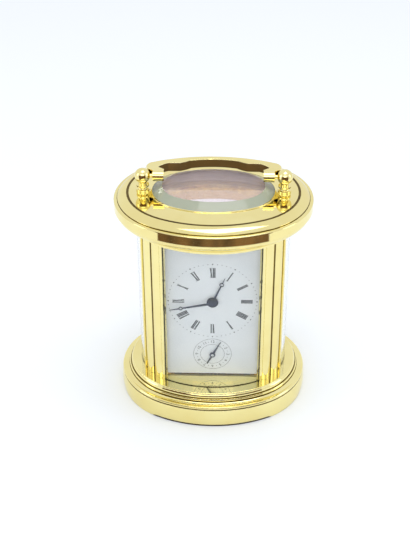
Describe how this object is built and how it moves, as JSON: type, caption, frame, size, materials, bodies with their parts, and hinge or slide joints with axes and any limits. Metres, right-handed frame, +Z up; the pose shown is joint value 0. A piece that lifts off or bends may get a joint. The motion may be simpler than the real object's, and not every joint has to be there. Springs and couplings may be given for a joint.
{
  "type": "oval carriage clock",
  "caption": "Oval brass carriage clock with folded bail handle, reeded pillars, curved glasses, bevelled top glass, alarm dial and a complete key-wound movement with platform escapement.",
  "frame": {"origin": "middle of the oval base, on the plane that the clock stands on", "axes": "+Z up, the dial faces -Y, +X to the right of someone facing the dial"},
  "size_m": [0.1, 0.0826, 0.131],
  "materials": {
    "polished_brass": "polished",
    "movement_brass": "satin",
    "bevelled_glass": "polished",
    "white_dial": "satin",
    "blued_steel": "polished",
    "bright_steel": "polished",
    "red_jewel": "polished"
  },
  "bodies": {
    "case_body": {"base_plinth": "polished_brass", "top_cornice": "polished_brass", "top_plate": "polished_brass", "front_right_pillar": "polished_brass", "front_left_pillar": "polished_brass", "rear_right_pillar": "polished_brass", "rear_left_pillar": "polished_brass", "right_handle_post": "polished_brass", "left_handle_post": "polished_brass", "handle_pivots": "polished_brass", "front_movement_plate": "movement_brass", "back_movement_plate": "movement_brass", "movement_pillars": "movement_brass", "motion_work_posts": "movement_brass", "platform_plate": "movement_brass", "train_bridge": "movement_brass", "balance_cock": "movement_brass", "bell_post": "movement_brass", "handle_post_nuts": "movement_brass", "top_glass": "bevelled_glass", "front_glass": "bevelled_glass", "right_side_glass": "bevelled_glass", "left_side_glass": "bevelled_glass", "dial_plate": "white_dial", "case_screws": "bright_steel", "door_hinge_pins": "bright_steel", "plate_screws": "bright_steel", "click_screws": "bright_steel", "click_springs": "bright_steel", "bell": "bright_steel", "platform_screws": "bright_steel", "jewels": "red_jewel"},
    "handle_body": {"handle": "polished_brass"},
    "door_body": {"rear_door_frame": "polished_brass", "rear_door_glass": "bevelled_glass", "door_knob": "polished_brass"},
    "centre_body": {"centre_wheel": "movement_brass", "cannon_pinion": "movement_brass", "minute_hand": "blued_steel"},
    "barrel_body": {"going_barrel": "movement_brass"},
    "winding_body": {"winding_arbor": "bright_steel"},
    "click_body": {"winding_click": "bright_steel"},
    "third_body": {"third_wheel": "movement_brass"},
    "contrate_body": {"contrate_wheel": "movement_brass"},
    "escape_body": {"escape_wheel": "movement_brass"},
    "pallet_body": {"pallet_fork": "bright_steel"},
    "balance_body": {"balance_wheel": "movement_brass", "hairspring": "blued_steel"},
    "minute_wheel_body": {"minute_wheel": "movement_brass"},
    "hour_body": {"hour_wheel": "movement_brass", "hour_hand": "blued_steel"},
    "idler_body": {"alarm_idler": "movement_brass"},
    "alarm_wheel_body": {"alarm_wheel": "movement_brass"},
    "alarm_setting_body": {"alarm_arbor": "bright_steel", "alarm_hand": "blued_steel"},
    "alarm_barrel_body": {"alarm_barrel": "movement_brass"},
    "alarm_winding_body": {"alarm_winding_arbor": "bright_steel"},
    "alarm_click_body": {"alarm_click": "bright_steel"},
    "alarm_escape_body": {"alarm_escape_wheel": "movement_brass"},
    "hammer_body": {"alarm_hammer": "bright_steel"}
  },
  "joints": [
    {"name": "handle_hinge", "type": "hinge", "parent": "case_body", "child": "handle_body", "pos_m": [0, 0, 0.1271], "axis": [1, 0, 0], "range_deg": [0, 180]},
    {"name": "door_hinge", "type": "hinge", "parent": "case_body", "child": "door_body", "pos_m": [0.02267, 0.02405, 0.059], "axis": [0, 0, -1], "range_deg": [0, 90]},
    {"name": "centre_turn", "type": "hinge", "parent": "case_body", "child": "centre_body", "pos_m": [0, 0, 0.0652], "axis": [0, 1, 0], "continuous": true},
    {"name": "barrel_turn", "type": "hinge", "parent": "case_body", "child": "barrel_body", "pos_m": [-0.007, 0, 0.0506], "axis": [0, 1, 0], "continuous": true},
    {"name": "third_turn", "type": "hinge", "parent": "case_body", "child": "third_body", "pos_m": [-0.00425, 0, 0.07571], "axis": [0, 1, 0], "continuous": true},
    {"name": "contrate_turn", "type": "hinge", "parent": "case_body", "child": "contrate_body", "pos_m": [0.005, 0, 0.08], "axis": [0, 1, 0], "continuous": true},
    {"name": "escape_turn", "type": "hinge", "parent": "case_body", "child": "escape_body", "pos_m": [0.005, 0.00046, 0.0936], "axis": [0, 0, 1], "continuous": true},
    {"name": "minute_wheel_turn", "type": "hinge", "parent": "case_body", "child": "minute_wheel_body", "pos_m": [0.00827, 0, 0.05826], "axis": [0, 1, 0], "continuous": true},
    {"name": "hour_turn", "type": "hinge", "parent": "case_body", "child": "hour_body", "pos_m": [0, 0, 0.0652], "axis": [0, 1, 0], "continuous": true},
    {"name": "idler_turn", "type": "hinge", "parent": "case_body", "child": "idler_body", "pos_m": [-0.0036, 0, 0.0483], "axis": [0, 1, 0], "continuous": true},
    {"name": "alarm_wheel_turn", "type": "hinge", "parent": "case_body", "child": "alarm_wheel_body", "pos_m": [0, 0, 0.0314], "axis": [0, 1, 0], "continuous": true},
    {"name": "winding_turn", "type": "hinge", "parent": "case_body", "child": "winding_body", "pos_m": [-0.007, 0, 0.0506], "axis": [0, 1, 0], "continuous": true},
    {"name": "click_lift", "type": "hinge", "parent": "case_body", "child": "click_body", "pos_m": [0.00004, 0, 0.05553], "axis": [0, -1, 0], "range_deg": [0, 10], "deforming": ["click_springs"]},
    {"name": "pallet_swing", "type": "hinge", "parent": "case_body", "child": "pallet_body", "pos_m": [0.00084, 0.00046, 0.0936], "axis": [0, 0, 1], "range_deg": [-5, 5]},
    {"name": "balance_swing", "type": "hinge", "parent": "case_body", "child": "balance_body", "pos_m": [-0.00476, 0.00046, 0.0936], "axis": [0, 0, 1], "range_deg": [-270, 270], "deforming": ["hairspring"]},
    {"name": "alarm_setting_turn", "type": "hinge", "parent": "case_body", "child": "alarm_setting_body", "pos_m": [0, 0, 0.0314], "axis": [0, 1, 0], "continuous": true},
    {"name": "alarm_winding_turn", "type": "hinge", "parent": "case_body", "child": "alarm_winding_body", "pos_m": [0.0126, 0, 0.0346], "axis": [0, 1, 0], "continuous": true},
    {"name": "alarm_click_lift", "type": "hinge", "parent": "case_body", "child": "alarm_click_body", "pos_m": [0.01964, 0, 0.03953], "axis": [0, -1, 0], "range_deg": [0, 10]},
    {"name": "alarm_barrel_turn", "type": "hinge", "parent": "case_body", "child": "alarm_barrel_body", "pos_m": [0.0126, 0, 0.0346], "axis": [0, 1, 0], "continuous": true},
    {"name": "alarm_escape_turn", "type": "hinge", "parent": "case_body", "child": "alarm_escape_body", "pos_m": [0.01743, 0, 0.04297], "axis": [0, 1, 0], "continuous": true},
    {"name": "hammer_swing", "type": "hinge", "parent": "case_body", "child": "hammer_body", "pos_m": [0.0096, 0, 0.0479], "axis": [0, 1, 0], "range_deg": [-4, 4]}
  ],
  "couplings": [
    {"joint": "barrel_turn", "follows": "centre_turn", "ratio": -0.125},
    {"joint": "third_turn", "follows": "centre_turn", "ratio": -8},
    {"joint": "contrate_turn", "follows": "centre_turn", "ratio": 60},
    {"joint": "escape_turn", "follows": "centre_turn", "ratio": 600},
    {"joint": "minute_wheel_turn", "follows": "centre_turn", "ratio": -0.33333},
    {"joint": "hour_turn", "follows": "centre_turn", "ratio": 0.083333},
    {"joint": "idler_turn", "follows": "centre_turn", "ratio": -0.083333},
    {"joint": "alarm_wheel_turn", "follows": "centre_turn", "ratio": 0.083333},
    {"joint": "alarm_escape_turn", "follows": "alarm_barrel_turn", "ratio": -6}
  ]
}
